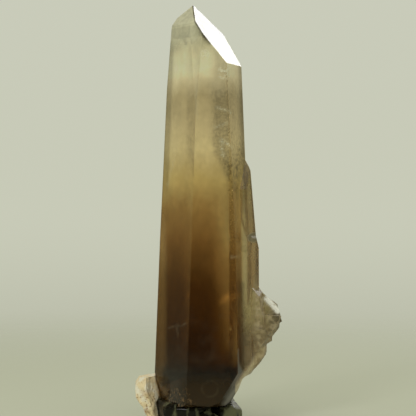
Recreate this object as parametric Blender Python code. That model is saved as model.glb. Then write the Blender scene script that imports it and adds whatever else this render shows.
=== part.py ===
"""A smoky quartz crystal, in metres, +Z up, standing on the flat cut under its foot.

The tall crystal is a six-sided prism that tapers upwards and ends in a chisel tip, because one tip face is
much larger than the others. Thinner crystals grew along its right side, a broken flake of quartz is fused to
its right near the foot, and a cream feldspar knob and a cluster of stubby dark crystals hold its lower end.
Each crystal is a block that the planes of its faces have cut. The front looks along -Y, and right is +X.
"""

import math

import bmesh
import bpy
from mathutils import Matrix, Vector, noise

MM = 0.001

# Driving sizes, in millimetres and degrees
FRONT_TURN = -82.4
FACE_STEP = 60.0
GAP = 0.3
BLOCK = 260.0

# The six directions that the prism faces of all the quartz look in, as turns from +X about Z
FRONT = FRONT_TURN
RIGHT_FRONT = FRONT_TURN + FACE_STEP
RIGHT_BACK = FRONT_TURN + 2 * FACE_STEP
BACK = FRONT_TURN + 3 * FACE_STEP
LEFT_BACK = FRONT_TURN + 4 * FACE_STEP
LEFT_FRONT = FRONT_TURN + 5 * FACE_STEP
SIX_TURNS = (FRONT, RIGHT_FRONT, RIGHT_BACK, BACK, LEFT_BACK, LEFT_FRONT)

# Prism faces of the tall crystal: turn, inward lean, distance from the axis at the base. Where one face has
# two or three, its taper changes on the way up
TALL_FACES = (
    (FRONT, 1.95, 11.4),
    (RIGHT_FRONT, 3.2, 13.76),
    (RIGHT_FRONT, 1.56, 12.37),
    (28.0, 0.67, 11.4),
    (BACK, 1.47, 12.4),
    (LEFT_BACK, 1.37, 12.61),
    (LEFT_BACK, 1.98, 13.14),
    (LEFT_BACK, 4.6, 17.3),
    (LEFT_FRONT, 2.77, 11.21),
    (-128.0, 5.03, 15.68),
)

# Every plane below is a turn, the tilt of its outward side above level, and a point on it
TALL_TIP = (
    (-22.8, 36.0, (5.98, -7.37, 96.69)),
    (219.6, 43.2, (-8.75, 1.2, 107.5)),
    (LEFT_BACK, 49.0, (-7.3, 3.1, 109.95)),
    (LEFT_BACK, 14.2, (-7.3, 3.1, 109.95)),
    (BACK, 35.3, (-2.92, 3.0, 113.5)),
    (33.0, 3.3, (10.2, 2.7, 96.8)),
)
TALL_END = (
    (-90.0, -84.0, (0.0, -4.0, 5.6)),
    (-28.0, -27.0, (10.0, -9.6, 16.6)),
    (12.0, -32.0, (9.2, 0.0, 11.3)),
    (12.0, -16.0, (7.9, 0.0, 8.5)),
    (-50.0, -58.0, (4.4, -9.0, 6.6)),
    (200.0, -14.0, (-13.2, 0.0, 13.6)),
    (215.0, -62.0, (-11.2, -3.0, 5.0)),
    (-95.0, -58.0, (-1.0, -11.0, 6.4)),
    (80.0, -50.0, (0.0, 11.0, 9.5)),
)

# Slim crystals that grew side by side with the tall one: axis, lean and radius at the base of each set of six
# faces, and the planes of the tip
SLIM_END = ((-20.0, -41.0, (12.4, -4.0, 15.7)), (0.0, -80.0, (9.0, 0.0, 12.5)))
SIDE_CRYSTAL = {
    "axis": (9.0, -0.3),
    "walls": ((4.2, 8.12), (0.3, 5.3)),
    "tip": (
        (0.0, 20.0, (12.6, 0.0, 68.2)),
        (-45.0, 18.0, (11.9, -3.2, 66.5)),
        (45.0, 22.0, (12.0, 3.0, 67.5)),
        (FRONT, 32.0, (10.0, -4.1, 62.5)),
        (RIGHT_FRONT, 50.0, (10.6, 0.0, 73.0)),
    ),
}
STEP_CRYSTAL = {
    "axis": (9.0, -0.3),
    "walls": ((0.3, 5.32),),
    "tip": (
        (0.0, 14.0, (14.2, 0.0, 49.9)),
        (FRONT, 16.0, (10.0, -5.6, 45.5)),
        (45.0, 16.0, (13.5, 3.5, 48.0)),
        (RIGHT_FRONT, 45.0, (13.7, 0.0, 51.0)),
    ),
}

# The broken flake on the right, and the web of quartz under it: all their planes
FLAKE = (
    (-12.0, 12.0, (14.9, 0.0, 37.2)),
    (-14.0, 33.0, (17.2, 0.0, 32.3)),
    (8.0, -2.0, (19.2, 0.0, 27.0)),
    (-25.0, -38.0, (17.5, -1.0, 22.8)),
    (-48.0, 6.0, (17.2, -3.6, 28.0)),
    (-96.0, 4.0, (14.0, -5.0, 30.0)),
    (-88.0, -24.0, (14.0, -5.0, 25.0)),
    (75.0, 10.0, (14.0, 4.6, 30.0)),
    (40.0, -55.0, (14.0, 2.0, 20.5)),
    (180.0, 0.0, (8.0, 0.0, 30.0)),
)
BEAK = (
    (10.0, 84.0, (20.5, 0.0, 29.1)),
    (-16.0, -13.0, (20.4, 0.0, 28.6)),
    (-22.0, -38.0, (18.9, 0.0, 25.2)),
    (-72.0, 8.0, (19.4, -1.6, 27.5)),
    (62.0, 12.0, (19.8, 2.2, 27.5)),
    (-60.0, -50.0, (17.4, -2.4, 23.0)),
    (60.0, -60.0, (17.0, 1.8, 22.6)),
    (180.0, 0.0, (12.0, 0.0, 27.0)),
)
CREST = (
    (4.0, 52.0, (18.3, 3.0, 33.3)),
    (14.0, 12.0, (20.0, 3.0, 31.0)),
    (-70.0, 20.0, (18.0, 1.6, 31.0)),
    (80.0, 14.0, (17.0, 6.2, 31.0)),
    (20.0, -60.0, (18.0, 4.0, 26.5)),
    (180.0, 20.0, (11.0, 3.0, 31.0)),
)
WEB = (
    (-8.0, -3.0, (16.4, 1.0, 20.0)),
    (-10.0, -37.0, (15.4, 1.0, 17.2)),
    (-16.0, -50.0, (12.6, 1.0, 14.3)),
    (-82.0, -6.0, (12.0, -1.6, 19.0)),
    (78.0, -12.0, (12.0, 6.2, 20.0)),
    (0.0, 70.0, (14.0, 1.0, 27.0)),
    (180.0, 0.0, (8.0, 0.0, 20.0)),
)
FELDSPAR = (
    (170.0, 85.0, (-15.0, 0.0, 12.8)),
    (190.0, 44.0, (-17.4, 0.0, 12.1)),
    (176.0, -4.0, (-18.3, 0.0, 9.0)),
    (184.0, -31.0, (-16.7, 0.0, 5.2)),
    (228.0, 8.0, (-17.1, -2.6, 9.0)),
    (262.0, -6.0, (-15.0, -4.0, 9.0)),
    (120.0, 12.0, (-17.0, 5.0, 9.0)),
    (80.0, 5.0, (-14.0, 7.6, 9.0)),
    (-35.0, 12.0, (-13.1, 0.0, 12.0)),
    (0.0, 0.0, (-9.4, 0.0, 4.0)),
)

# Stubby dark crystals of the foot: centre, radius, height, turn and lean of the axis, and roof slope
FOOT_CRYSTALS = (
    ((-4.3, -2.2), 7.0, 9.5, 196.0, 7.0, 20.0),
    ((5.9, -3.2), 3.6, 7.3, -30.0, 3.0, 34.0),
    ((3.0, 4.2), 5.2, 8.2, 70.0, 8.0, 28.0),
    ((-5.4, 4.8), 4.6, 7.0, 130.0, 9.0, 30.0),
    ((0.6, -6.6), 3.2, 5.2, -100.0, 12.0, 36.0),
)
# Those of them, counted from 0, that the feldspar knob grew against
FOOT_BESIDE_FELDSPAR = (0, 3)

# What stands on the ground starts as a longer piece, and the flat cut at zero height ends it
DEEP_END = (0.0, -90.0, (0.0, 0.0, -4.0))

# Roughness of broken surfaces: length of the mesh's edges, size and height of its lumps, and their seed
BREAK_EDGE = 1.3
BREAK_LUMP = 3.0
BREAK_HEIGHT = 0.28
BREAK_SEED = 12
EDGE_ROUND_SHARE = 0.12


def facing(turn, tilt):
    """The unit vector at a turn from +X about Z and a tilt above level, both in degrees."""
    a, e = math.radians(turn), math.radians(tilt)
    return Vector((math.cos(a) * math.cos(e), math.sin(a) * math.cos(e), math.sin(e)))


def cut(solid, point, normal):
    """Slices off what lies beyond a plane and closes the slice with one flat face."""
    geometry = solid.verts[:] + solid.edges[:] + solid.faces[:]
    sliced = bmesh.ops.bisect_plane(
        solid, geom=geometry, dist=1e-8, plane_co=point, plane_no=normal, clear_outer=True
    )
    rim = [part for part in sliced["geom_cut"] if isinstance(part, bmesh.types.BMEdge)]
    open_rim = [edge for edge in rim if edge.is_boundary]
    if open_rim:
        bmesh.ops.contextual_create(solid, geom=open_rim)


def carved(planes, grow=0.0):
    """A block cut by planes of a turn, a tilt and a point in millimetres, each moved out by grow."""
    solid = bmesh.new()
    bmesh.ops.create_cube(solid, size=BLOCK * MM)
    for turn, tilt, point in planes:
        normal = facing(turn, tilt)
        cut(solid, (Vector(point) + grow * normal) * MM, normal)
    bmesh.ops.recalc_face_normals(solid, faces=solid.faces[:])
    return solid


def prism_planes(axis, faces):
    """The planes of prism faces given by turn, inward lean and distance from the axis at the base."""
    centre = Vector((*axis, 0.0))
    return [(turn, lean, centre + reach * facing(turn, 0.0)) for turn, lean, reach in faces]


def split_long_edges(solid, longest):
    """Triangulates the faces and halves their edges until none is longer than this."""
    bmesh.ops.triangulate(solid, faces=solid.faces[:])
    while True:
        long_edges = [edge for edge in solid.edges if edge.calc_length() > longest]
        if not long_edges:
            return
        bmesh.ops.subdivide_edges(solid, edges=long_edges, cuts=1)
        bmesh.ops.triangulate(solid, faces=solid.faces[:])


def roughened(solid, lump, height):
    """The same solid with lumps pushed into its faces, as on a broken surface."""
    split_long_edges(solid, BREAK_EDGE * MM)
    for vert in solid.verts:
        vert.co += noise.noise_vector(vert.co / (lump * MM)) * height * MM
    return solid


def make_object(name, solid, collection, material=None):
    """An object that holds this solid."""
    mesh = bpy.data.meshes.new(name)
    solid.to_mesh(mesh)
    solid.free()
    obj = bpy.data.objects.new(name, mesh)
    collection.objects.link(obj)
    if material:
        mesh.materials.append(material)
    return obj


def boolean(obj, operation, other):
    """Joins or cuts the object with another, which is then a hidden guide."""
    modifier = obj.modifiers.new(f"{operation.lower()} {other.name}", "BOOLEAN")
    modifier.operation = operation
    modifier.solver = "EXACT"
    modifier.object = other
    other.hide_render = True
    other.display_type = "WIRE"


def slim_crystal(spec, grow):
    """A crystal parallel to the tall one."""
    faces = [(turn, lean, radius) for lean, radius in spec["walls"] for turn in SIX_TURNS]
    return carved([*prism_planes(spec["axis"], faces), *spec["tip"], *SLIM_END], grow)


def quartz_solids(grow=0.0):
    """The crystals and broken pieces that grew together as one, by name, each pushed out by grow."""
    tall = [*prism_planes((0.0, 0.0), TALL_FACES), *TALL_TIP, *TALL_END]
    solids = {
        "tall": carved(tall, grow),
        "side": slim_crystal(SIDE_CRYSTAL, grow),
        "step": slim_crystal(STEP_CRYSTAL, grow),
    }
    for name, planes in {"flake": FLAKE, "beak": BEAK, "crest": CREST, "web": WEB}.items():
        solids[name] = roughened(carved(planes, grow), BREAK_LUMP, BREAK_HEIGHT)
    return solids


def build_quartz(parts, guides, material):
    """The tall crystal with all that is fused to it, as one solid."""
    solids = quartz_solids()
    crystal = make_object("quartz_crystal", solids.pop("tall"), parts, material)
    for name, solid in solids.items():
        boolean(crystal, "UNION", make_object(f"fused_{name}", solid, guides))
    return crystal


def build_feldspar(parts, guides, material):
    """The cream knob against the lower left of the tall crystal, clear of the foot crystals beside it."""
    lump = roughened(carved([*FELDSPAR, DEEP_END]), BREAK_LUMP, BREAK_HEIGHT)
    knob = make_object("feldspar_knob", lump, parts, material)
    for number in FOOT_BESIDE_FELDSPAR:
        beside = make_object(f"clearance_foot_{number}", stub_crystal(*FOOT_CRYSTALS[number], grow=GAP), guides)
        boolean(knob, "DIFFERENCE", beside)
    return knob


def stub_crystal(centre, radius, height, turn, lean, roof_slope, grow=0.0):
    """A stubby hexagonal crystal with a low roof and softened edges, leaning towards a turn."""
    walls = prism_planes((0.0, 0.0), [(turn + FACE_STEP * i, 0.0, radius) for i in range(6)])
    roof = [(turn + 2 * FACE_STEP * i + 20.0, 90.0 - roof_slope, (0.0, 0.0, height)) for i in range(3)]
    solid = carved([*walls, *roof, DEEP_END], grow)
    bmesh.ops.bevel(
        solid,
        geom=solid.edges[:],
        offset=EDGE_ROUND_SHARE * radius * MM,
        segments=2,
        profile=0.5,
        affect="EDGES",
        clamp_overlap=True,
    )
    tip_over = Matrix.Rotation(math.radians(lean), 4, facing(turn + 90.0, 0.0))
    solid.transform(Matrix.Translation(Vector((*centre, 0.0)) * MM) @ tip_over)
    return solid


def build_foot(parts, guides, material):
    """The cluster of dark crystals that the tall one stands in, cut off flat underneath."""
    first, *others = FOOT_CRYSTALS
    foot = make_object("foot_crystals", stub_crystal(*first), parts, material)
    for number, spec in enumerate(others, start=2):
        boolean(foot, "UNION", make_object(f"foot_crystal_{number}", stub_crystal(*spec), guides))
    return foot


def make_material(name, colour, roughness, transmission=0.0):
    """A plain finish of one colour."""
    material = bpy.data.materials.new(name)
    material.use_nodes = True
    shader = material.node_tree.nodes["Principled BSDF"]
    shader.inputs["Base Color"].default_value = (*colour, 1.0)
    shader.inputs["Roughness"].default_value = roughness
    shader.inputs["Transmission Weight"].default_value = transmission
    return material


def main():
    """Clears the file and builds the three pieces."""
    for obj in list(bpy.data.objects):
        bpy.data.objects.remove(obj)
    noise.seed_set(BREAK_SEED)
    parts = bpy.data.collections.new("smoky_quartz")
    guides = bpy.data.collections.new("guides")
    bpy.context.scene.collection.children.link(parts)
    bpy.context.scene.collection.children.link(guides)

    smoky = make_material("smoky quartz", (0.42, 0.30, 0.14), 0.08, transmission=1.0)
    cream = make_material("cream feldspar", (0.50, 0.40, 0.24), 0.6)
    dark = make_material("dark quartz", (0.03, 0.025, 0.018), 0.12)

    build_quartz(parts, guides, smoky)
    knob = build_feldspar(parts, guides, cream)
    foot = build_foot(parts, guides, dark)

    beside_quartz = make_object("clearance_quartz", quartz_solids(GAP)["tall"], guides)
    ground = bmesh.new()
    bmesh.ops.create_cube(ground, size=BLOCK * MM)
    bmesh.ops.translate(ground, verts=ground.verts[:], vec=(0.0, 0.0, -0.5 * BLOCK * MM))
    flat_cut = make_object("flat_cut", ground, guides)
    for piece in (knob, foot):
        boolean(piece, "DIFFERENCE", beside_quartz)
        boolean(piece, "DIFFERENCE", flat_cut)


main()
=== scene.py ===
"""A smoky quartz crystal in a pale studio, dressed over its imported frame.

The frame gives three solids: the tall crystal with what grew into it, a knob of feldspar and a foot of stubby
dark crystals. Each is remade here from its own mesh with the detail of the real surface, and the veils inside
the tall crystal are added. All sizes are in millimetres unless a name says otherwise, and the front looks
along -Y.
"""

import logging
import math
from dataclasses import dataclass, replace
from enum import Enum
from functools import reduce
from typing import Any, Iterable

import bmesh
import bpy
from mathutils import Matrix, Vector


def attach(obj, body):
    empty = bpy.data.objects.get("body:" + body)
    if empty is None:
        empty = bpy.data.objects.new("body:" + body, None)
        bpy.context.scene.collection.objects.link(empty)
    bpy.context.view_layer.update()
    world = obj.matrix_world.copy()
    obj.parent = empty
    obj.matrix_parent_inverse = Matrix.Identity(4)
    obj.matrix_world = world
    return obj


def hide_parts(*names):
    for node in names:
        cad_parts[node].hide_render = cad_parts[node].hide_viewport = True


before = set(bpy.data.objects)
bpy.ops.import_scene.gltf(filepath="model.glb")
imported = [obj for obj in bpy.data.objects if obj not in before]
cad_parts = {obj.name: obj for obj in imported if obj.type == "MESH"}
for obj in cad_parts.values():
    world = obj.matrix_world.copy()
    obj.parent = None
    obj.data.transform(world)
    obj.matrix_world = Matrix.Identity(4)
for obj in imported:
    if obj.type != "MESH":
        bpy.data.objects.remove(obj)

LOG = logging.getLogger("smoky_quartz")
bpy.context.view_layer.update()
MM = 0.001
SNAP = 0.02
MERGE = 0.001
ON_CUT = 0.01
FULL_TURN = 6.283

Colour = tuple[float, float, float]
Place = tuple[float, float, float]
Span = tuple[float, float]


class Part(Enum):
    """The solids of the frame."""

    QUARTZ = "quartz_crystal"
    FELDSPAR = "feldspar_knob"
    FOOT = "foot_crystals"


class Slot(Enum):
    """The material slots of the record."""

    SMOKY = "smoky_quartz"
    CREAM = "cream_feldspar"
    DARK = "dark_quartz"


class Signal:
    """A node output that takes part in Python sums, each of which adds a Math node."""

    def __init__(self, tree: bpy.types.NodeTree, socket: bpy.types.NodeSocket) -> None:
        """Keeps the socket.

        Args:
            tree: The tree that the socket belongs to.
            socket: An output socket that holds a value.
        """
        self.tree = tree
        self.socket = socket

    def math(self, operation: str, *others: "Signal | float", clamp: bool = False) -> "Signal":
        """Adds a Math node with this signal first.

        Args:
            operation: The node's operation.
            others: What goes into its other sockets.
            clamp: True to keep the result between 0 and 1.

        Returns:
            The node's result.
        """
        return combined(self.tree, operation, (self, *others), clamp)

    def __add__(self, other: "Signal | float") -> "Signal":
        """The sum."""
        return self.math("ADD", other)

    def __radd__(self, other: float) -> "Signal":
        """The sum with a number on the left."""
        return self.math("ADD", other)

    def __sub__(self, other: "Signal | float") -> "Signal":
        """The difference."""
        return self.math("SUBTRACT", other)

    def __rsub__(self, other: float) -> "Signal":
        """The difference from a number on the left."""
        return combined(self.tree, "SUBTRACT", (other, self))

    def __mul__(self, other: "Signal | float") -> "Signal":
        """The product."""
        return self.math("MULTIPLY", other)

    def __rmul__(self, other: float) -> "Signal":
        """The product with a number on the left."""
        return self.math("MULTIPLY", other)

    def __truediv__(self, other: "Signal | float") -> "Signal":
        """The quotient."""
        return self.math("DIVIDE", other)

    def __rtruediv__(self, other: float) -> "Signal":
        """The quotient of a number on the left."""
        return combined(self.tree, "DIVIDE", (other, self))

    def __pow__(self, other: "Signal | float") -> "Signal":
        """The power."""
        return self.math("POWER", other)

    def __abs__(self) -> "Signal":
        """The size without the sign."""
        return self.math("ABSOLUTE")

    def clamped(self) -> "Signal":
        """The signal kept between 0 and 1."""
        return self.math("ADD", 0.0, clamp=True)

    def most(self, other: "Signal | float") -> "Signal":
        """The larger of the two."""
        return self.math("MAXIMUM", other)


def feed(tree: bpy.types.NodeTree, socket: bpy.types.NodeSocket, value: Any) -> None:
    """Links a signal or an output to a socket, or sets the socket's own value.

    Args:
        tree: The tree that holds the socket.
        socket: The input socket.
        value: A Signal, an output socket, a number, or a colour or vector.
    """
    if isinstance(value, Signal):
        tree.links.new(value.socket, socket)
    elif isinstance(value, bpy.types.NodeSocket):
        tree.links.new(value, socket)
    elif socket.type == "RGBA" and len(value) == 3:
        socket.default_value = (*value, 1.0)
    else:
        socket.default_value = value


def combined(
    tree: bpy.types.NodeTree, operation: str, values: Iterable["Signal | float"], clamp: bool = False
) -> Signal:
    """Adds a Math node.

    Args:
        tree: The tree that gets the node.
        operation: The node's operation.
        values: What goes into its sockets, in order.
        clamp: True to keep the result between 0 and 1.

    Returns:
        The node's result.
    """
    node = tree.nodes.new("ShaderNodeMath")
    node.operation = operation
    node.use_clamp = clamp
    for socket, value in zip(node.inputs, values):
        feed(tree, socket, value)
    return Signal(tree, node.outputs[0])


def strongest(signals: Iterable[Signal]) -> Signal:
    """The largest of several signals."""
    return reduce(Signal.most, signals)


class NodeDesk:
    """Adds nodes to a tree, with the few that finishes share."""

    def __init__(self, tree: bpy.types.NodeTree) -> None:
        """Keeps the tree."""
        self.tree = tree

    def node(self, kind: str, settings: dict[str, Any] | None = None, **inputs: Any) -> bpy.types.Node:
        """Adds a node.

        Args:
            kind: The node's type.
            settings: Its settings, set before its sockets; "stops" holds a ramp's positions and colours.
            inputs: Its sockets by name with _ for a space, or by number as in _0.

        Returns:
            The node.
        """
        made = self.tree.nodes.new(kind)
        for name, value in (settings or {}).items():
            if name == "stops":
                self.set_stops(made.color_ramp, value)
            else:
                setattr(made, name, value)
        self.fill(made, **inputs)
        return made

    def fill(self, node: bpy.types.Node, **inputs: Any) -> None:
        """Feeds a node's sockets, given as for the node method.

        Args:
            node: The node.
            inputs: Its sockets and their values.
        """
        for name, value in inputs.items():
            key = int(name[1:]) if name[0] == "_" else name.replace("_", " ")
            feed(self.tree, node.inputs[key], value)

    @staticmethod
    def set_stops(ramp: bpy.types.ColorRamp, stops: Iterable[tuple[float, Colour]]) -> None:
        """Gives a ramp its stops.

        Args:
            ramp: The ramp of a ColorRamp node.
            stops: Positions with their colours, from the lowest.
        """
        while len(ramp.elements) > 1:
            ramp.elements.remove(ramp.elements[0])
        for number, (position, colour) in enumerate(stops):
            element = ramp.elements[0] if number == 0 else ramp.elements.new(position)
            element.position = position
            element.color = (*colour, 1.0)

    def value(self, node: bpy.types.Node, output: str | int = 0) -> Signal:
        """One output of a node as a signal."""
        return Signal(self.tree, node.outputs[output])

    def place(self) -> bpy.types.NodeSocket:
        """The point on the object in metres."""
        return self.node("ShaderNodeTexCoord").outputs["Object"]

    def place_mm(self) -> tuple[Signal, Signal, Signal]:
        """The point on the object as three signals in millimetres."""
        scaled = self.node("ShaderNodeVectorMath", {"operation": "SCALE"}, Vector=self.place(), Scale=1000.0)
        split = self.node("ShaderNodeSeparateXYZ", _0=scaled.outputs[0])
        return self.value(split, 0), self.value(split, 1), self.value(split, 2)

    def smooth(self, signal: Signal, low: float, high: float) -> Signal:
        """A smooth rise from 0 at low to 1 at high.

        Args:
            signal: What is measured.
            low: Where the rise starts; it may be above high for a fall.
            high: Where it ends.

        Returns:
            The rise.
        """
        start, end, first, last = (low, high, 0.0, 1.0) if low < high else (high, low, 1.0, 0.0)
        node = self.node(
            "ShaderNodeMapRange",
            {"interpolation_type": "SMOOTHSTEP"},
            Value=signal,
            From_Min=start,
            From_Max=end,
            To_Min=first,
            To_Max=last,
        )
        return self.value(node)

    def spot(self, u: Signal, v: Signal, centre: tuple[float, float], reach: tuple[float, float]) -> Signal:
        """A soft spot that is 1 at its centre and 0 past its reach.

        Args:
            u: The first coordinate.
            v: The second coordinate.
            centre: The middle of the spot.
            reach: How far it goes along each coordinate.

        Returns:
            The spot.
        """
        across = (u - centre[0]) / reach[0]
        along = (v - centre[1]) / reach[1]
        return self.smooth(across * across + along * along, 1.0, 0.0)

    def noise(
        self, size: float, detail: float = 3.0, stretch: Colour = (1.0, 1.0, 1.0), seed: float = 0.0
    ) -> Signal:
        """Noise over the object.

        Args:
            size: The size of its lumps in millimetres.
            detail: Octaves.
            stretch: How much faster it changes along each axis.
            seed: An offset that gives another pattern.

        Returns:
            Noise between 0 and 1.
        """
        moved = self.node(
            "ShaderNodeMapping", Vector=self.place(), Location=(seed, seed * 0.7, -seed), Scale=stretch
        )
        made = self.node("ShaderNodeTexNoise", Vector=moved.outputs[0], Scale=1000.0 / size, Detail=detail)
        return self.value(made, "Fac")

    def mix(self, share: "Signal | float", first: Any, second: Any) -> bpy.types.NodeSocket:
        """Mixes two colours.

        Args:
            share: How much of the second there is.
            first: A colour or a colour socket.
            second: A colour or a colour socket.

        Returns:
            The mixed colour.
        """
        return self.node("ShaderNodeMix", {"data_type": "RGBA"}, _0=share, _6=first, _7=second).outputs[2]

    def ramp(self, signal: Signal, stops: Iterable[tuple[float, Colour]]) -> bpy.types.NodeSocket:
        """The colour that a ramp gives a signal.

        Args:
            signal: Where on the ramp.
            stops: The ramp's positions and colours.

        Returns:
            The colour.
        """
        return self.node("ShaderNodeValToRGB", {"stops": stops}, Fac=signal).outputs["Color"]

    def bump(self, height: Signal, depth: float) -> bpy.types.NodeSocket:
        """The normal of a surface with this relief.

        Args:
            height: The relief between 0 and 1.
            depth: How deep the whole of it is, in millimetres.

        Returns:
            The normal.
        """
        return self.node("ShaderNodeBump", Distance=depth * MM, Strength=1.0, Height=height).outputs["Normal"]


class GeometryDesk(NodeDesk):
    """A geometry tree with named inputs, run once on an object as a modifier."""

    def __init__(self, name: str, inputs: Iterable[tuple[str, str, Any]]) -> None:
        """Makes the empty tree.

        Args:
            name: The tree's name.
            inputs: The name, socket type and usual value of each input after the geometry.
        """
        super().__init__(bpy.data.node_groups.new(name, "GeometryNodeTree"))
        face = self.tree.interface
        face.new_socket("Geometry", in_out="INPUT", socket_type="NodeSocketGeometry")
        self.keys = {}
        for label, kind, usual in inputs:
            socket = face.new_socket(label, in_out="INPUT", socket_type=kind)
            if usual is not None:
                socket.default_value = usual
            self.keys[label] = socket.identifier
        face.new_socket("Geometry", in_out="OUTPUT", socket_type="NodeSocketGeometry")
        self.given = self.tree.nodes.new("NodeGroupInput")
        self.result = self.tree.nodes.new("NodeGroupOutput")

    def size(self, label: str) -> Signal:
        """A named input as a signal."""
        return self.value(self.given, label)

    def end(self, geometry: bpy.types.NodeSocket) -> None:
        """Ends the tree with real geometry in its finish.

        Args:
            geometry: The last output; the tree has an input named Finish.
        """
        real = self.node("GeometryNodeRealizeInstances", Geometry=geometry)
        dressed = self.node(
            "GeometryNodeSetMaterial", Geometry=real.outputs[0], Material=self.given.outputs["Finish"]
        )
        self.tree.links.new(dressed.outputs[0], self.result.inputs[0])

    def run(self, obj: bpy.types.Object, **values: Any) -> None:
        """Puts the tree's result in the object as a plain mesh.

        Args:
            obj: The object that the tree works on.
            values: The inputs by name, with _ for a space.
        """
        modifier = obj.modifiers.new(self.tree.name, "NODES")
        modifier.node_group = self.tree
        for label, value in values.items():
            modifier[self.keys[label.replace("_", " ")]] = value
        graph = bpy.context.evaluated_depsgraph_get()
        made = bpy.data.meshes.new_from_object(obj.evaluated_get(graph))
        obj.modifiers.clear()
        before = obj.data
        obj.data = made
        bpy.data.meshes.remove(before)


class ReliefTree(GeometryDesk):
    """Gives a fine mesh the relief of crystal faces and of broken surfaces.

    Crystal faces get long waves and low growth steps that run across them. Where the mesh's "broken" value is
    1, a ridged relief as of shell-like fractures takes their place. All heights are in millimetres.
    """

    def __init__(self) -> None:
        """Makes the tree."""
        super().__init__(
            "crystal relief",
            (
                ("Finish", "NodeSocketMaterial", None),
                ("Wave Height", "NodeSocketFloat", 0.05),
                ("Wave Length", "NodeSocketFloat", 9.0),
                ("Step Height", "NodeSocketFloat", 0.03),
                ("Step Pitch", "NodeSocketFloat", 1.6),
                ("Break Height", "NodeSocketFloat", 0.3),
                ("Break Size", "NodeSocketFloat", 2.2),
                ("Pit Depth", "NodeSocketFloat", 0.0),
                ("Pit Size", "NodeSocketFloat", 1.0),
                ("Seed", "NodeSocketFloat", 1.0),
            ),
        )
        point = self.node("GeometryNodeInputPosition").outputs[0]
        marked = self.node("GeometryNodeInputNamedAttribute", {"data_type": "FLOAT"}, Name="broken")
        broken = self.value(marked)
        wave = self.waves(point, self.size("Wave Length"), (1.0, 1.0, 0.35), 1.0) - 0.5
        step = self.waves(point, self.size("Step Pitch"), (0.08, 0.08, 1.0), 3.0) - 0.5
        ridge = 1.0 - abs(self.waves(point, self.size("Break Size"), (1.0, 1.0, 1.0), 4.0) * 2.0 - 1.0) * 1.6
        near = self.node(
            "ShaderNodeTexVoronoi",
            {"voronoi_dimensions": "4D"},
            Vector=self.scaled(point, 1000.0 / self.size("Pit Size"), (1.0, 1.0, 1.0)),
            W=self.size("Seed"),
            Scale=1.0,
        )
        pits = self.smooth(self.value(near, "Distance"), 0.42, 0.12)
        face = (wave * self.size("Wave Height") + step * self.size("Step Height")) * (1.0 - broken)
        rough = (ridge - 0.7) * self.size("Break Height") * broken - pits * self.size("Pit Depth")
        normal = self.node("GeometryNodeInputNormal").outputs[0]
        push = self.node(
            "ShaderNodeVectorMath", {"operation": "SCALE"}, Vector=normal, Scale=(face + rough) * MM
        )
        moved = self.node("GeometryNodeSetPosition", Geometry=self.given.outputs[0], Offset=push.outputs[0])
        self.end(moved.outputs[0])

    def scaled(self, point: bpy.types.NodeSocket, scale: Signal, stretch: Colour) -> bpy.types.NodeSocket:
        """The point times a scale, and times a stretch along each axis."""
        even = self.node("ShaderNodeVectorMath", {"operation": "SCALE"}, Vector=point, Scale=scale)
        made = self.node("ShaderNodeVectorMath", {"operation": "MULTIPLY"}, _0=even.outputs[0], _1=stretch)
        return made.outputs[0]

    def waves(self, point: bpy.types.NodeSocket, length: Signal, stretch: Colour, detail: float) -> Signal:
        """Noise of a wave length in millimetres.

        Args:
            point: The place in metres.
            length: The wave length.
            stretch: How much faster it changes along each axis.
            detail: Octaves.

        Returns:
            Noise between 0 and 1.
        """
        made = self.node(
            "ShaderNodeTexNoise",
            {"noise_dimensions": "4D"},
            Vector=self.scaled(point, 1000.0 / length, stretch),
            W=self.size("Seed"),
            Scale=1.0,
            Detail=detail,
        )
        return self.value(made, "Fac")


class FlakeTree(GeometryDesk):
    """Strews tiny flakes along a guide sheet, as the specks that make up a veil inside the crystal."""

    flake_sides = 5
    flake_radius = 0.16
    flake_height = 0.05

    def __init__(self) -> None:
        """Makes the tree."""
        super().__init__(
            "veil flakes",
            (
                ("Finish", "NodeSocketMaterial", None),
                ("Density", "NodeSocketFloat", 3.0e6),
                ("Smallest", "NodeSocketFloat", 0.5),
                ("Largest", "NodeSocketFloat", 1.6),
                ("Spread", "NodeSocketFloat", 0.0003),
                ("Seed", "NodeSocketInt", 1),
            ),
        )
        strewn = self.node(
            "GeometryNodeDistributePointsOnFaces",
            Mesh=self.given.outputs[0],
            Density=self.size("Density"),
            Seed=self.size("Seed"),
        )
        shift = self.node(
            "FunctionNodeRandomValue",
            {"data_type": "FLOAT_VECTOR"},
            _0=(-1.0, -1.0, -1.0),
            _1=(1.0, 1.0, 1.0),
            Seed=self.size("Seed"),
        )
        push = self.node(
            "ShaderNodeVectorMath", {"operation": "SCALE"}, Vector=shift.outputs[0], Scale=self.size("Spread")
        )
        loose = self.node("GeometryNodeSetPosition", Geometry=strewn.outputs[0], Offset=push.outputs[0])
        flake = self.node(
            "GeometryNodeMeshCone",
            {"fill_type": "NGON"},
            Vertices=self.flake_sides,
            Radius_Top=0.0,
            Radius_Bottom=self.flake_radius * MM,
            Depth=self.flake_height * MM,
        )
        turn = self.node(
            "FunctionNodeRandomValue",
            {"data_type": "FLOAT_VECTOR"},
            _0=(0.0, 0.0, 0.0),
            _1=(FULL_TURN, FULL_TURN, FULL_TURN),
            Seed=self.size("Seed") + 7.0,
        )
        scale = self.node(
            "FunctionNodeRandomValue",
            _2=self.size("Smallest"),
            _3=self.size("Largest"),
            Seed=self.size("Seed") + 13.0,
        )
        placed = self.node(
            "GeometryNodeInstanceOnPoints",
            Points=loose.outputs[0],
            Instance=flake.outputs[0],
            Rotation=turn.outputs[0],
            Scale=scale.outputs[1],
        )
        self.end(placed.outputs[0])


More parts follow.
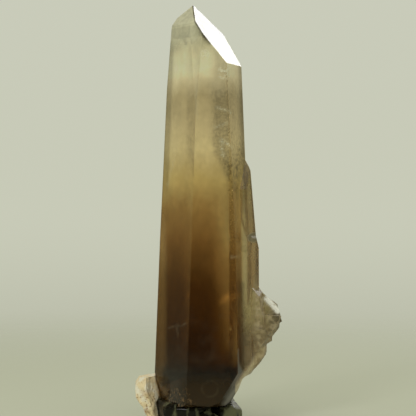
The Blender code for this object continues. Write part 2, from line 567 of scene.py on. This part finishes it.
def new_material(name: str) -> tuple[bpy.types.Material, NodeDesk, bpy.types.Node, bpy.types.Node]:
    """A material with a Principled shader.

    Args:
        name: The material's name.

    Returns:
        The material, its desk, its Principled node and its output node.
    """
    material = bpy.data.materials.new(name)
    material.use_nodes = True
    tree = material.node_tree
    return material, NodeDesk(tree), tree.nodes["Principled BSDF"], tree.nodes["Material Output"]


@dataclass(frozen=True)
class Surface:
    """A finish's desk, with the place on the surface across, deep and high in millimetres."""

    desk: NodeDesk
    x: Signal
    y: Signal
    z: Signal

    def moved(self, across: Signal, up: "Signal | float" = 0.0) -> "Surface":
        """The same surface with its places shifted."""
        return replace(self, x=self.x + across, z=self.z + up)


@dataclass(frozen=True)
class Mark:
    """A streak on the crystal as the front shows it: its ends as (x, z), half its width and its strength."""

    start: Span
    end: Span
    width: float
    strength: float

    def drawn(self, at: Surface) -> Signal:
        """The streak as a signal.

        Args:
            at: The surface.

        Returns:
            The strength on the line, which falls to 0 at its width.
        """
        run, rise = self.end[0] - self.start[0], self.end[1] - self.start[1]
        from_x, from_z = at.x - self.start[0], at.z - self.start[1]
        along = ((from_x * run + from_z * rise) / (run * run + rise * rise)).clamped()
        off_x, off_z = from_x - along * run, from_z - along * rise
        return at.desk.smooth((off_x * off_x + off_z * off_z) ** 0.5, self.width, 0.0) * self.strength


@dataclass(frozen=True)
class Blot:
    """A soft spot on the crystal as the front shows it: its middle and reach as (x, z), and its strength."""

    middle: Span
    reach: Span
    strength: float

    def drawn(self, at: Surface) -> Signal:
        """The strength at the middle, which falls to 0 at the reach."""
        return at.desk.spot(at.x, at.z, self.middle, self.reach) * self.strength


@dataclass(frozen=True)
class Patch:
    """A stretch of the crystal, which fades in from the first to the second number of each of its spans."""

    strength: float = 1.0
    across: tuple[Span, ...] = ()
    deep: tuple[Span, ...] = ()
    high: tuple[Span, ...] = ()

    def drawn(self, at: Surface) -> Signal:
        """The patch as a signal.

        Args:
            at: The surface.

        Returns:
            The strength where every span has faded in, and 0 outside.
        """
        axes = ((at.x, self.across), (at.y, self.deep), (at.z, self.high))
        fades = [at.desk.smooth(place, *span) for place, spans in axes for span in spans]
        return reduce(Signal.__mul__, fades) * self.strength


@dataclass(frozen=True)
class SmokyQuartz:
    """Clear quartz whose smoke deepens from an olive grey tip to a nearly black foot."""

    top: float = 113.5
    ior: float = 1.544
    smoke: Colour = (0.80, 0.60, 0.28)
    smoke_density: float = 14.0
    roughness: float = 0.12
    zones: tuple[tuple[float, Colour], ...] = (
        (0.00, (0.014, 0.008, 0.003)),
        (12.0, (0.026, 0.011, 0.003)),
        (24.0, (0.048, 0.017, 0.004)),
        (36.0, (0.085, 0.032, 0.006)),
        (42.0, (0.125, 0.055, 0.012)),
        (50.0, (0.260, 0.130, 0.036)),
        (58.0, (0.400, 0.240, 0.080)),
        (66.0, (0.700, 0.530, 0.220)),
        (74.0, (0.860, 0.720, 0.420)),
        (81.0, (0.800, 0.670, 0.410)),
        (88.0, (0.610, 0.510, 0.310)),
        (96.0, (0.900, 0.810, 0.590)),
        (104.0, (0.700, 0.680, 0.500)),
        (113.5, (0.760, 0.760, 0.620)),
    )
    side_zone: Colour = (0.56, 0.46, 0.23)
    side_foot: Colour = (0.20, 0.14, 0.065)
    rim_zone: Colour = (0.64, 0.50, 0.27)
    frost_and_sheen: Colour = (0.74, 0.71, 0.52)
    cream: Colour = (0.62, 0.51, 0.32)
    stone: Colour = (0.46, 0.36, 0.22)
    rust: Colour = (0.34, 0.20, 0.09)
    dull: Colour = (0.20, 0.17, 0.10)
    # the dark of the band round the bottom of the crystal, where it meets the foot
    hem_dark: Colour = (0.038, 0.022, 0.007)
    white: Colour = (0.96, 0.94, 0.88)
    # the pale wisps; their paleness is partly painted reflection of light on the silky fractures
    wisps: tuple[Mark, ...] = (
        Mark((3.2, 84.8), (6.8, 83.7), 0.8, 0.42),
        Mark((4.7, 76.4), (4.9, 72.2), 0.9, 0.40),
        Mark((5.0, 76.0), (7.2, 74.3), 0.8, 0.44),
        Mark((2.6, 79.5), (6.0, 80.6), 0.9, 0.26),
        Mark((-2.1, 103.0), (-1.8, 82.0), 0.7, 0.16),
        Mark((-9.9, 64.0), (-8.1, 71.0), 0.5, 0.16),
        Mark((-9.4, 26.3), (-4.4, 27.9), 0.4, 0.13),
        Mark((-7.2, 27.5), (-7.0, 24.6), 0.5, 0.10),
        Mark((7.2, 45.4), (14.4, 45.6), 0.6, 0.16),
    )
    web: Mark = Mark((15.9, 20.0), (6.0, 6.6), 2.2, 0.95)
    # painted highlight: the white glint on the upper slope of the broken flake
    painted_highlight: Mark = Mark((17.0, 33.7), (20.0, 30.4), 1.5, 1.3)
    chisel_line: Mark = Mark((-2.4, 107.6), (0.6, 103.2), 1.2, 0.85)
    glow: Mark = Mark((4.4, 33.6), (8.8, 35.4), 1.3, 1.3)
    # painted shade: the groove where the right front face lies in shade beside the slim crystals
    painted_groove_shade: Mark = Mark((9.9, 38.0), (10.3, 16.0), 1.3, 0.50)
    side_crystals: Patch = Patch(across=((9.4, 10.6),), high=((72.0, 64.0),))
    side_upright: Patch = Patch(high=((66.0, 56.0),))
    side_low: Patch = Patch(high=((32.0, 22.0),))
    broken_flake: Patch = Patch(across=((12.4, 14.0),), high=((42.0, 37.0),))
    # painted shadow: the darker front of the broken flake's tip, below its lit upper slope
    painted_flake_shadow: Blot = Blot((19.4, 28.4), (2.4, 4.0), 0.6)
    clearer: Patch = Patch(across=((0.0, 6.5),), high=((12.0, 22.0), (66.0, 54.0)))
    rim: Patch = Patch(across=((-9.4, -11.4),), high=((60.0, 46.0),))
    pale_clouds: tuple[Blot, ...] = (
        Blot((-5.0, 96.0), (4.0, 12.0), 0.32),
        Blot((0.2, 97.5), (3.4, 6.5), 0.32),
    )
    veil_patch: Patch = Patch(0.40, across=((0.6, 3.0),), high=((94.0, 88.0),))
    veil_band: Patch = Patch(0.24, across=((9.6, 8.6),), high=((46.0, 56.0), (74.0, 68.0)))
    veil_lobe: Blot = Blot((9.8, 71.0), (1.7, 7.0), 0.22)
    veil_edge: Span = (73.0, 78.0)
    band_from: Span = (4.6, 6.4)
    left_edge: tuple[Span, float] = ((-8.6, 106.0), 0.036)
    right_edge: tuple[Span, float] = ((9.9, 95.5), 0.042)
    outlines: Patch = Patch(0.52, high=((58.0, 68.0),))
    foot_band: Patch = Patch(across=((-8.0, -4.0),), high=((16.0, 12.0),))
    foot_until: Span = (8.5, 6.5)
    etches: tuple[Patch, ...] = (
        Patch(0.70, across=((-1.9, -2.5),), high=((106.0, 106.9),)),
        Patch(0.60, across=((1.0, -3.6),), high=((99.5, 105.0),)),
        Patch(0.48, across=((5.0, -1.0),), deep=((1.0, 6.0),), high=((99.0, 107.0),)),
    )
    chisel_way: Place = (0.746, -0.314, 0.588)
    chisel_reach: float = 63.6
    chisel_margin: Span = (0.12, 0.5)
    front: Patch = Patch(deep=((2.0, -1.0),))
    notch: Blot = Blot((13.3, 50.4), (2.2, 1.7), 1.5)
    clusters: tuple[Blot, ...] = (Blot((5.3, 94.0), (2.3, 2.2), 1.0), Blot((0.3, 99.0), (1.8, 1.8), 0.6))
    low: Patch = Patch(high=((38.0, 10.0),))
    dusty: Blot = Blot((-6.0, 13.0), (3.4, 5.5), 0.05)
    rusty: Blot = Blot((-7.5, 7.5), (6.0, 5.0), 0.45)
    web_foot: Patch = Patch(0.25, high=((17.0, 11.0),))
    ring_middle: Span = (1.6, 11.1)
    ring_radius: float = 2.1
    hem_frost: float = 0.62

    def material(self) -> bpy.types.Material:
        """The finish of the crystal.

        Returns:
            Clear glass with an even smoke inside, zones of colour on its faces with painted shade in the
            groove by the slim crystals and on the flake's tip, and a thin frost where they are etched, broken
            or dusty, which also carries a painted highlight on the flake and the partly painted sheen of the
            pale wisps.
        """
        made, desk, shader, output = new_material("smoky quartz")
        at = Surface(desk, *desk.place_mm())
        side, flake = self.side_crystals.drawn(at), self.broken_flake.drawn(at)
        worn = desk.noise(3.0, 4.0) * 0.10 + side * 0.14 + flake * 0.20 + (self.roughness - 0.05)
        desk.fill(shader, Base_Color=self.colour(at, side, flake), Roughness=worn)
        desk.fill(shader, IOR=self.ior, Transmission_Weight=1.0)
        inside = desk.node("ShaderNodeVolumeAbsorption", Color=self.smoke, Density=self.smoke_density)
        # the frost mix also carries the painted highlight on the flake and the partly painted sheen of the
        # wisps
        share, tint = self.frost_and_painted_light(at, side, flake)
        frost_and_sheen = desk.node("ShaderNodeBsdfPrincipled", Base_Color=tint, Roughness=0.9, Specular_IOR_Level=0.1)
        both = desk.node("ShaderNodeMixShader", _0=share, _1=shader.outputs[0], _2=frost_and_sheen.outputs[0])
        desk.fill(output, Surface=both.outputs[0], Volume=inside.outputs[0])
        return made

    def colour(self, at: Surface, side: Signal, flake: Signal) -> bpy.types.NodeSocket:
        """The smoke's colour over the faces, with painted shade in the groove by the slim crystals and on the
        flake's tip.

        Args:
            at: The surface.
            side: 1 on the slim crystals at the right.
            flake: 1 on the broken flake.

        Returns:
            The colour.
        """
        desk = at.desk
        clearer = self.clearer.drawn(at) * (10.5 + (50.0 - at.z) * 0.5)
        cloudy = (desk.noise(6.0, 3.0, (1.0, 1.0, 0.6)) - 0.5) * 12.0
        height = (at.z + clearer + cloudy) / self.top
        tint = desk.ramp(height, [(level / self.top, colour) for level, colour in self.zones])
        tint = desk.mix(self.rim.drawn(at), tint, self.rim_zone)
        tint = desk.mix(side, tint, desk.mix(self.side_low.drawn(at), self.side_zone, self.side_foot))
        streaks = desk.noise(4.0, 3.0, (2.0, 2.0, 0.35), 5.0) - 0.5
        clouds = desk.noise(5.0, 3.0, (1.0, 0.4, 0.7), 11.0) - 0.5
        grain = desk.noise(1.3, 5.0) - 0.5
        rough = desk.noise(1.8, 5.0, seed=12.0) - 0.5
        light = 1.0 + streaks * 0.30 + clouds * 0.55 + grain * 0.40 + flake * rough * 1.5
        for cloud in self.pale_clouds:
            light = light + cloud.drawn(at)
        light = light + self.glow.drawn(at)
        light = light * (1.0 - self.veil(at)) * (1.0 - self.dark_edges(at))
        return desk.node("ShaderNodeVectorMath", {"operation": "SCALE"}, Vector=tint, Scale=light).outputs[0]

    def veil(self, at: Surface) -> Signal:
        """The dark olive veil in the upper right, with its slanting lower edge and the band below it.

        Args:
            at: The surface.

        Returns:
            How much light the veil takes.
        """
        desk = at.desk
        torn = (desk.noise(1.6, 5.0, (1.0, 1.0, 0.6), 2.0) - 0.5) * 5.0
        above = desk.smooth(at.z + (at.x - 1.3) * 2.0 + torn, *self.veil_edge)
        patch = self.veil_patch.drawn(at.moved(torn * 0.2)) * above
        band = self.veil_band.drawn(at) * desk.smooth(at.x + torn * 0.1, *self.band_from)
        specks = desk.smooth(desk.noise(0.7, 4.0), 0.40, 0.62)
        return (patch + band + self.veil_lobe.drawn(at)) * (specks * 0.6 + 0.68)

    def dark_edges(self, at: Surface) -> Signal:
        """The brown lines along the outlines, the painted shade in the groove by the slim crystals, the dark
        of the foot, and the painted shadow on the flake's tip.

        Args:
            at: The surface.

        Returns:
            How much light they take.
        """
        (left_x, left_z), left_flare = self.left_edge
        (right_x, right_z), right_flare = self.right_edge
        left = at.x - left_x + (left_z - at.z) * left_flare
        right = right_x + (right_z - at.z) * right_flare - at.x
        outlines = (at.desk.smooth(left, 1.0, 0.1) + at.desk.smooth(right, 1.0, 0.1)).clamped()
        # the groove's painted shade and the flake tip's painted shadow are drawn here
        drawn = [mark.drawn(at) for mark in (self.chisel_line, self.painted_groove_shade, self.painted_flake_shadow)]
        return strongest([outlines * self.outlines.drawn(at), self.hem(at) * 0.72, *drawn])

    def hem(self, at: Surface) -> Signal:
        """The dark matt band round the crystal's foot."""
        ragged = (at.desk.noise(2.0, 4.0, seed=16.0) - 0.5) * 4.0
        return self.foot_band.drawn(at.moved(ragged, ragged)) * at.desk.smooth(at.x, *self.foot_until)

    def etched(self, at: Surface) -> Signal:
        """The matt etch of the tip and the shoulders, which leaves out the chisel face.

        Args:
            at: The surface.

        Returns:
            The share of the etch.
        """
        mottled = 0.66 + at.desk.noise(1.1, 4.0, seed=14.0) * 0.62
        way = self.chisel_way
        below_chisel = self.chisel_reach - (at.x * way[0] + at.y * way[1] + at.z * way[2])
        spread = strongest(patch.drawn(at) for patch in self.etches)
        return spread * mottled * at.desk.smooth(below_chisel, *self.chisel_margin)

    def wisps_and_sheen(self, at: Surface) -> Signal:
        """The thin pale wisps, a little wavy, whose paleness is partly painted reflection of light on their
        silky fractures.
        """
        across = (at.desk.noise(2.0, 3.0, seed=6.0) - 0.5) * 1.6
        up = (at.desk.noise(1.6, 3.0, seed=9.0) - 0.5) * 1.6
        return strongest(mark.drawn(at.moved(across, up)) for mark in self.wisps)

    def ring(self, at: Surface) -> Signal:
        """The faint outline of the round inclusion near the foot."""
        across, up = at.x - self.ring_middle[0], at.z - self.ring_middle[1]
        off = abs((across**2.0 + up**2.0) ** 0.5 - self.ring_radius)
        return at.desk.smooth(off, 0.6, 0.0) * at.desk.smooth(at.desk.noise(2.4, 3.0), 0.35, 0.6) * 0.08

    def frost_and_painted_light(self, at: Surface, side: Signal, flake: Signal) -> tuple[Signal, bpy.types.NodeSocket]:
        """Where the surface is matt, and how pale, with the painted highlight on the flake and the partly
        painted sheen of the wisps.

        Args:
            at: The surface.
            side: 1 on the slim crystals at the right.
            flake: 1 on the broken flake.

        Returns:
            The share of the frost and its colour.
        """
        desk = at.desk
        fine = desk.noise(0.5, 4.0)
        specks = desk.smooth(fine, 0.46, 0.66)
        chips = desk.smooth(desk.noise(1.3, 6.0, seed=15.0), 0.42, 0.62)
        grit = desk.smooth(desk.noise(0.7, 6.0, seed=18.0), 0.50, 0.66)
        clumps = desk.smooth(desk.noise(0.9, 3.0, seed=4.0), 0.44, 0.56)
        drifts = desk.smooth(desk.noise(2.6, 8.0, seed=1.0), 0.46, 0.72)
        low, notch, ring = self.low.drawn(at), self.notch.drawn(at).clamped(), self.ring(at)
        upright = side * (0.04 + fine * 0.16) * self.side_upright.drawn(at)
        matt = strongest([self.etched(at), notch * 0.9, upright, flake * (0.10 + chips * 0.42)])
        wisps_and_sheen = self.wisps_and_sheen(at) * (0.3 + specks * 0.8)
        cluster = strongest(blot.drawn(at) for blot in self.clusters) * clumps * 0.75
        dusty, rusty = self.dusty.drawn(at) * specks, self.rusty.drawn(at) * grit
        worn = strongest([wisps_and_sheen, cluster, low * drifts * 0.03, dusty, ring, rusty]) * self.front.drawn(at)
        web = self.web.drawn(at)
        # the painted highlight on the flake, drawn as white frost
        painted_highlight_share = self.painted_highlight.drawn(at) * desk.smooth(desk.noise(0.8, 3.0, seed=7.0), 0.26, 0.42)
        hem = self.hem(at) * self.hem_frost
        share = strongest([matt, worn, hem, web, painted_highlight_share]).clamped()
        stony = desk.smooth(desk.noise(1.1, 4.0, seed=3.0), 0.40, 0.62)
        broken = desk.mix(stony, self.cream, self.stone)
        warm = desk.mix(low * 0.85, self.frost_and_sheen, self.rust)
        tint = desk.mix(side.most(web).clamped(), warm, broken)
        tint = desk.mix(desk.smooth(hem - worn, 0.0, 0.03), tint, self.hem_dark)
        tint = desk.mix((ring * 1.6).most(notch).clamped(), tint, self.dull)
        tint = desk.mix((rusty * 2.0).clamped(), tint, self.rust)
        tint = desk.mix(web * self.web_foot.drawn(at), tint, self.white)
        return share, desk.mix(painted_highlight_share.clamped(), tint, self.white)


@dataclass(frozen=True)
class VeilSpeck:
    """The pale silky specks of a veil."""

    pale: Colour = (0.86, 0.80, 0.62)
    dim: Colour = (0.70, 0.60, 0.40)

    def material(self) -> bpy.types.Material:
        """The finish of the flakes in the veils."""
        made, desk, shader, _ = new_material("veil speck")
        desk.fill(shader, Base_Color=desk.mix(desk.noise(0.8), self.pale, self.dim), Roughness=0.35)
        return made


@dataclass(frozen=True)
class CreamFeldspar:
    """Dull cream stone with rusty stains."""

    cream: Colour = (0.90, 0.74, 0.47)
    pale: Colour = (0.93, 0.86, 0.70)
    rust: Colour = (0.36, 0.17, 0.05)

    def material(self) -> bpy.types.Material:
        """The finish of the knob."""
        made, desk, shader, _ = new_material("cream feldspar")
        _, _, z = desk.place_mm()
        tint = desk.mix(desk.smooth(desk.noise(2.6, 3.0), 0.42, 0.62), self.cream, self.pale)
        low = desk.smooth(z, 13.0, 6.0)
        stain = desk.smooth(desk.noise(2.2, 6.0, seed=3.0), 0.48, 0.66) * low
        tint = desk.mix(stain * 0.55, tint, self.rust)
        specks = desk.smooth(desk.noise(0.55, 3.0, seed=8.0), 0.56, 0.64) * (0.25 + low * 0.75)
        tint = desk.mix(specks * 0.75, tint, self.rust)
        grain = desk.bump(desk.noise(0.35, 4.0), 0.08)
        desk.fill(shader, Base_Color=tint, Roughness=0.75 - desk.noise(0.9) * 0.25, Normal=grain)
        return made


@dataclass(frozen=True)
class DarkQuartz:
    """Nearly black glossy quartz with grey green streaks of painted sheen."""

    black: Colour = (0.008, 0.007, 0.004)
    # painted sheen: grey green streaks that stand for the foot's glassy highlights
    painted_sheen: Colour = (0.135, 0.135, 0.072)

    def material(self) -> bpy.types.Material:
        """The finish of the foot."""
        made, desk, shader, _ = new_material("dark quartz")
        x, _, z = desk.place_mm()
        # more painted sheen on the nub at the right and a little more higher up
        sheen_toward_right = desk.smooth(x, 3.5, 7.0) * 0.18 + desk.smooth(z, 2.5, 5.0) * 0.02
        painted_sheen = desk.smooth(desk.noise(2.2, 5.0, (1.0, 1.0, 0.5)) + sheen_toward_right, 0.53, 0.72)
        grain = desk.bump(desk.noise(0.8, 4.0), 0.06)
        tint = desk.mix(painted_sheen, self.black, self.painted_sheen)
        desk.fill(shader, Base_Color=tint, Roughness=0.16 + painted_sheen * 0.3, Specular_IOR_Level=0.2, Normal=grain)
        return made


def merged_solid(part: Part) -> bmesh.types.BMesh:
    """A solid of the frame with its loose triangles joined.

    Args:
        part: Which solid.

    Returns:
        The closed mesh, in metres.
    """
    solid = bmesh.new()
    solid.from_mesh(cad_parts[part.value].data)
    bmesh.ops.remove_doubles(solid, verts=solid.verts[:], dist=MERGE * MM)
    return solid


def slice_across(solid: bmesh.types.BMesh, way: Place, span: Span, step: float) -> None:
    """Adds edges where evenly spaced planes cross the faces, so that relief can follow.

    Args:
        solid: The mesh.
        way: The direction that the planes face.
        span: Where the planes start and end along it.
        step: Their spacing.
    """
    normal = Vector(way)
    start, stop = span
    for number in range(int((stop - start) / step) + 1):
        everything = solid.verts[:] + solid.edges[:] + solid.faces[:]
        middle = normal * (start + number * step) * MM
        bmesh.ops.bisect_plane(solid, geom=everything, dist=SNAP * MM, plane_co=middle, plane_no=normal)


def finished(name: str, solid: bmesh.types.BMesh) -> bpy.types.Object:
    """An object at the origin that holds the solid.

    Args:
        name: The object's name.
        solid: Its mesh, which is freed.

    Returns:
        The object, linked to the scene.
    """
    mesh = bpy.data.meshes.new(name)
    solid.to_mesh(mesh)
    solid.free()
    obj = bpy.data.objects.new(name, mesh)
    bpy.context.scene.collection.objects.link(obj)
    return obj


def shade(obj: bpy.types.Object, crease: float) -> None:
    """Smooth shading with creases where faces meet at more than an angle in degrees."""
    obj.data.shade_smooth()
    obj.data.set_sharp_from_angle(angle=math.radians(crease))


def report(obj: bpy.types.Object) -> None:
    """Logs a finished piece and its size."""
    obj.data.calc_loop_triangles()
    LOG.info("%s: %d triangles", obj.name, len(obj.data.loop_triangles))


def settle(obj: bpy.types.Object, slot: Slot, *parts: Part) -> None:
    """Hands a finished piece to the frame.

    Args:
        obj: The piece.
        slot: The record's slot, which is not used.
        parts: The solids that it stands for, if any.
    """
    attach(obj, "root")
    if parts:
        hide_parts(*(part.value for part in parts))
    report(obj)


@dataclass
class QuartzCrystal:
    """The tall crystal with the slim crystals, the broken flake and the web that grew into it."""

    relief: ReliefTree
    flat_within: float = 0.5
    small_face: float = 2.6
    edge_width: float = 0.13
    layer: float = 0.6
    stripe: float = 1.6
    across: Span = (-12.3, 12.6)
    deep: Span = (-11.1, 12.0)
    high: Span = (5.3, 113.0)
    flake_top: float = 42.0
    eased_from: float = 12.0
    crease: float = 11.0

    def build(self) -> bpy.types.Object:
        """Builds and dresses the crystal.

        Returns:
            The crystal.
        """
        solid = merged_solid(Part.QUARTZ)
        bmesh.ops.dissolve_limit(
            solid, angle_limit=math.radians(self.flat_within), verts=solid.verts[:], edges=solid.edges[:]
        )
        self.mark_broken(solid)
        self.ease_edges(solid)
        self.refine_broken(solid)
        slice_across(solid, (1.0, 0.0, 0.0), self.across, self.stripe)
        slice_across(solid, (0.0, 1.0, 0.0), self.deep, self.stripe)
        slice_across(solid, (0.0, 0.0, 1.0), self.high, self.layer)
        bmesh.ops.recalc_face_normals(solid, faces=solid.faces[:])
        obj = finished("quartz_crystal_grown", solid)
        self.relief.run(obj, Finish=SmokyQuartz().material())
        shade(obj, self.crease)
        settle(obj, Slot.SMOKY, Part.QUARTZ)
        return obj

    def mark_broken(self, solid: bmesh.types.BMesh) -> None:
        """Gives each vertex a "broken" value: 1 where all faces round it are small, as on the flake."""
        broken = solid.verts.layers.float.new("broken")
        for vert in solid.verts:
            small = all(face.calc_area() < self.small_face * MM * MM for face in vert.link_faces)
            vert[broken] = 1.0 if small and vert.co.z < self.flake_top * MM else 0.0

    def ease_edges(self, solid: bmesh.types.BMesh) -> None:
        """Takes the knife edge off where large faces meet at a corner that stands out."""
        edges = [
            edge
            for edge in solid.edges
            if min(face.calc_area() for face in edge.link_faces) > self.small_face * MM * MM
            and edge.calc_face_angle_signed() > math.radians(self.eased_from)
        ]
        bmesh.ops.bevel(
            solid,
            geom=edges,
            offset=self.edge_width * MM,
            segments=2,
            profile=0.5,
            affect="EDGES",
            clamp_overlap=True,
        )

    def refine_broken(self, solid: bmesh.types.BMesh) -> None:
        """Splits the edges of the broken surfaces, so that the relief has ridges."""
        broken = solid.verts.layers.float["broken"]
        edges = [edge for edge in solid.edges if all(vert[broken] > 0.5 for vert in edge.verts)]
        bmesh.ops.subdivide_edges(solid, edges=edges, cuts=2, use_grid_fill=True)


@dataclass(frozen=True)
class Wisp:
    """One streak of a veil: its middle line as places, and its width."""

    line: tuple[Place, ...]
    width: float


@dataclass
class Veils:
    """The silky streaks and specks that float inside the upper right of the tall crystal."""

    flakes: FlakeTree
    wisps: tuple[Wisp, ...] = (
        Wisp(((4.4, -4.5, 75.0), (5.6, -4.5, 70.0), (6.8, -4.5, 65.0), (7.2, -4.5, 60.0)), 1.8),
        Wisp(((7.2, -4.5, 60.0), (7.4, -4.5, 54.0), (7.6, -4.5, 48.0)), 1.1),
        Wisp(((3.4, -5.0, 86.0), (5.0, -5.0, 81.0), (6.2, -4.5, 77.0)), 1.4),
        Wisp(((4.0, -5.0, 94.8), (4.8, -5.0, 94.4), (5.6, -4.6, 93.8)), 1.4),
    )
    density: float = 3.0e6
    smallest: float = 0.3
    largest: float = 0.9

    def build(self) -> bpy.types.Object:
        """Builds and dresses the veils.

        Returns:
            One object that holds them all.
        """
        guide = bmesh.new()
        for wisp in self.wisps:
            self.sheet(guide, wisp)
        obj = finished("quartz_veils", guide)
        self.flakes.run(
            obj,
            Finish=VeilSpeck().material(),
            Density=self.density,
            Smallest=self.smallest,
            Largest=self.largest,
        )
        settle(obj, Slot.SMOKY)
        return obj

    @staticmethod
    def sheet(guide: bmesh.types.BMesh, wisp: Wisp) -> None:
        """Adds the narrow sheet that a wisp's flakes are strewn on.

        Args:
            guide: The mesh that gets it.
            wisp: The wisp.
        """
        rows = []
        for number, place in enumerate(wisp.line):
            middle = Vector(place)
            before = Vector(wisp.line[max(number - 1, 0)])
            after = Vector(wisp.line[min(number + 1, len(wisp.line) - 1)])
            across = (after - before).cross(Vector((0.0, 1.0, 0.3))).normalized() * wisp.width * 0.5
            rows.append([guide.verts.new((middle + side * across) * MM) for side in (-1.0, 1.0)])
        for (a, b), (c, d) in zip(rows, rows[1:]):
            guide.faces.new((a, b, d, c))


@dataclass
class FeldsparKnob:
    """The rough cream lump against the lower left of the tall crystal."""

    relief: ReliefTree
    cuts: int = 2
    crease: float = 50.0

    def build(self) -> bpy.types.Object:
        """Builds and dresses the knob.

        Returns:
            The knob.
        """
        solid = merged_solid(Part.FELDSPAR)
        split_evenly(solid, self.cuts)
        mark_all_broken(solid)
        obj = finished("feldspar_lump", solid)
        self.relief.run(
            obj,
            Finish=CreamFeldspar().material(),
            Break_Height=0.5,
            Break_Size=2.2,
            Pit_Depth=0.25,
            Pit_Size=1.2,
            Seed=4.0,
        )
        shade(obj, self.crease)
        settle(obj, Slot.CREAM, Part.FELDSPAR)
        return obj


@dataclass
class FootCrystals:
    """The stubby dark crystals under the tall one."""

    relief: ReliefTree
    cuts: int = 5
    crease: float = 55.0

    def build(self) -> bpy.types.Object:
        """Builds and dresses the foot.

        Returns:
            The foot.
        """
        solid = merged_solid(Part.FOOT)
        split_evenly(solid, self.cuts)
        mark_all_broken(solid)
        obj = finished("foot_cluster", solid)
        self.relief.run(obj, Finish=DarkQuartz().material(), Break_Height=0.45, Break_Size=2.4, Seed=9.0)
        shade(obj, self.crease)
        settle(obj, Slot.DARK, Part.FOOT)
        return obj


def split_evenly(solid: bmesh.types.BMesh, cuts: int) -> None:
    """Splits every triangle into a grid of smaller ones.

    Args:
        solid: The mesh, which ends as triangles.
        cuts: How many points each edge gets.
    """
    bmesh.ops.triangulate(solid, faces=solid.faces[:])
    bmesh.ops.subdivide_edges(solid, edges=solid.edges[:], cuts=cuts, use_grid_fill=True)
    bmesh.ops.triangulate(solid, faces=solid.faces[:])


def mark_all_broken(solid: bmesh.types.BMesh) -> None:
    """Marks the whole surface as broken, but for the flat cut that it stands on."""
    broken = solid.verts.layers.float.new("broken")
    for vert in solid.verts:
        vert[broken] = 0.0 if vert.co.z < ON_CUT * MM else 1.0


@dataclass(frozen=True)
class SoftBox:
    """A square lamp: its name, where it is, what it points at, its width, and its power in watts."""

    name: str
    place: Place
    aim: Place
    width: float
    power: float

    def build(self) -> None:
        """Adds the lamp."""
        data = bpy.data.lights.new(self.name, "AREA")
        data.size = self.width * MM
        data.energy = self.power
        lamp = bpy.data.objects.new(self.name, data)
        bpy.context.scene.collection.objects.link(lamp)
        at, to = Vector(self.place) * MM, Vector(self.aim) * MM
        lamp.matrix_world = Matrix.Translation(at) @ (to - at).to_track_quat("-Z", "Y").to_matrix().to_4x4()


@dataclass(frozen=True)
class Studio:
    """The pale surroundings, the camera and the lights: above, behind on the right where the chisel face
    mirrors it, and one for the knob."""

    boxes: tuple[SoftBox, ...] = (
        SoftBox("top_box", (60.0, -80.0, 620.0), (0.0, 0.0, 60.0), 420.0, 0.4),
        SoftBox("chisel_box", (426.0, 833.0, 466.0), (10.0, 0.0, 97.0), 430.0, 1.85),
        SoftBox("knob_box", (-120.0, -200.0, 160.0), (-13.0, -2.0, 8.0), 60.0, 0.135),
    )
    floor_radius: float = 900.0
    floor_fade: Span = (60.0, 420.0)
    floor_colour: Colour = (0.575, 0.585, 0.475)
    low_sky: Colour = (0.435, 0.445, 0.345)
    mid_sky: Colour = (0.575, 0.59, 0.475)
    high_sky: Colour = (0.59, 0.605, 0.50)
    gloss_front: Colour = (0.03, 0.03, 0.022)
    gloss_side: Colour = (0.150, 0.132, 0.080)
    low_fade: Span = (0.0, -0.17)
    high_fade: Span = (0.0, 0.3)
    gloss_fade: Span = (-0.7, -0.1)
    eye: Place = (1.08, -343.0, 58.3)
    lens: float = 110.0

    def build(self) -> None:
        """Builds the floor, the sky, the lamps and the camera."""
        self.build_floor()
        self.build_sky()
        for box in self.boxes:
            box.build()
        self.build_camera()

    def build_floor(self) -> None:
        """A pale disc that fades out into the sky."""
        disc = bmesh.new()
        bmesh.ops.create_circle(disc, cap_ends=True, segments=96, radius=self.floor_radius * MM)
        floor = finished("studio_floor", disc)
        made, desk, shader, output = new_material("pale floor")
        desk.fill(shader, Base_Color=self.floor_colour, Roughness=0.9, Specular_IOR_Level=0.1)
        x, y, _ = desk.place_mm()
        fade = desk.smooth((x * x + y * y) ** 0.5, *self.floor_fade)
        clear = desk.node("ShaderNodeBsdfTransparent")
        both = desk.node("ShaderNodeMixShader", _0=fade, _1=shader.outputs[0], _2=clear.outputs[0])
        desk.fill(output, Surface=both.outputs[0])
        floor.data.materials.append(made)

    def build_sky(self) -> None:
        """An even pale surround, a little darker below, that polished faces mirror only faintly."""
        world = bpy.data.worlds.new("studio")
        world.use_nodes = True
        bpy.context.scene.world = world
        world.cycles.sampling_method = "NONE"
        tree = world.node_tree
        desk = NodeDesk(tree)
        way = desk.node("ShaderNodeSeparateXYZ", _0=desk.node("ShaderNodeTexCoord").outputs["Generated"])
        back, up = desk.value(way, 1), desk.value(way, 2)
        low = desk.smooth(up, *self.low_fade)
        high = desk.smooth(up, *self.high_fade)
        colour = desk.mix(low, desk.mix(high, self.mid_sky, self.high_sky), self.low_sky)
        ray = desk.node("ShaderNodeLightPath")
        mirrored = desk.value(ray, "Is Reflection Ray") * (1.0 - desk.value(ray, "Is Diffuse Ray"))
        gloss = desk.mix(desk.smooth(back, *self.gloss_fade), self.gloss_front, self.gloss_side)
        desk.fill(tree.nodes["Background"], Color=desk.mix(mirrored, colour, gloss))

    def build_camera(self) -> None:
        """A level camera in front."""
        data = bpy.data.cameras.new("camera")
        data.lens = self.lens
        data.sensor_width = 36.0
        data.clip_start = 0.01
        data.clip_end = 10.0
        camera = bpy.data.objects.new("camera", data)
        camera.location = Vector(self.eye) * MM
        camera.rotation_euler = (math.radians(90.0), 0.0, 0.0)
        bpy.context.scene.collection.objects.link(camera)
        bpy.context.scene.camera = camera


def main() -> None:
    """Builds everything."""
    logging.basicConfig(level=logging.INFO, format="%(name)s: %(message)s")
    bpy.context.scene.view_settings.view_transform = "Standard"
    relief = ReliefTree()
    QuartzCrystal(relief).build()
    Veils(FlakeTree()).build()
    FeldsparKnob(relief).build()
    FootCrystals(relief).build()
    Studio().build()


if __name__ == "__main__":
    main()
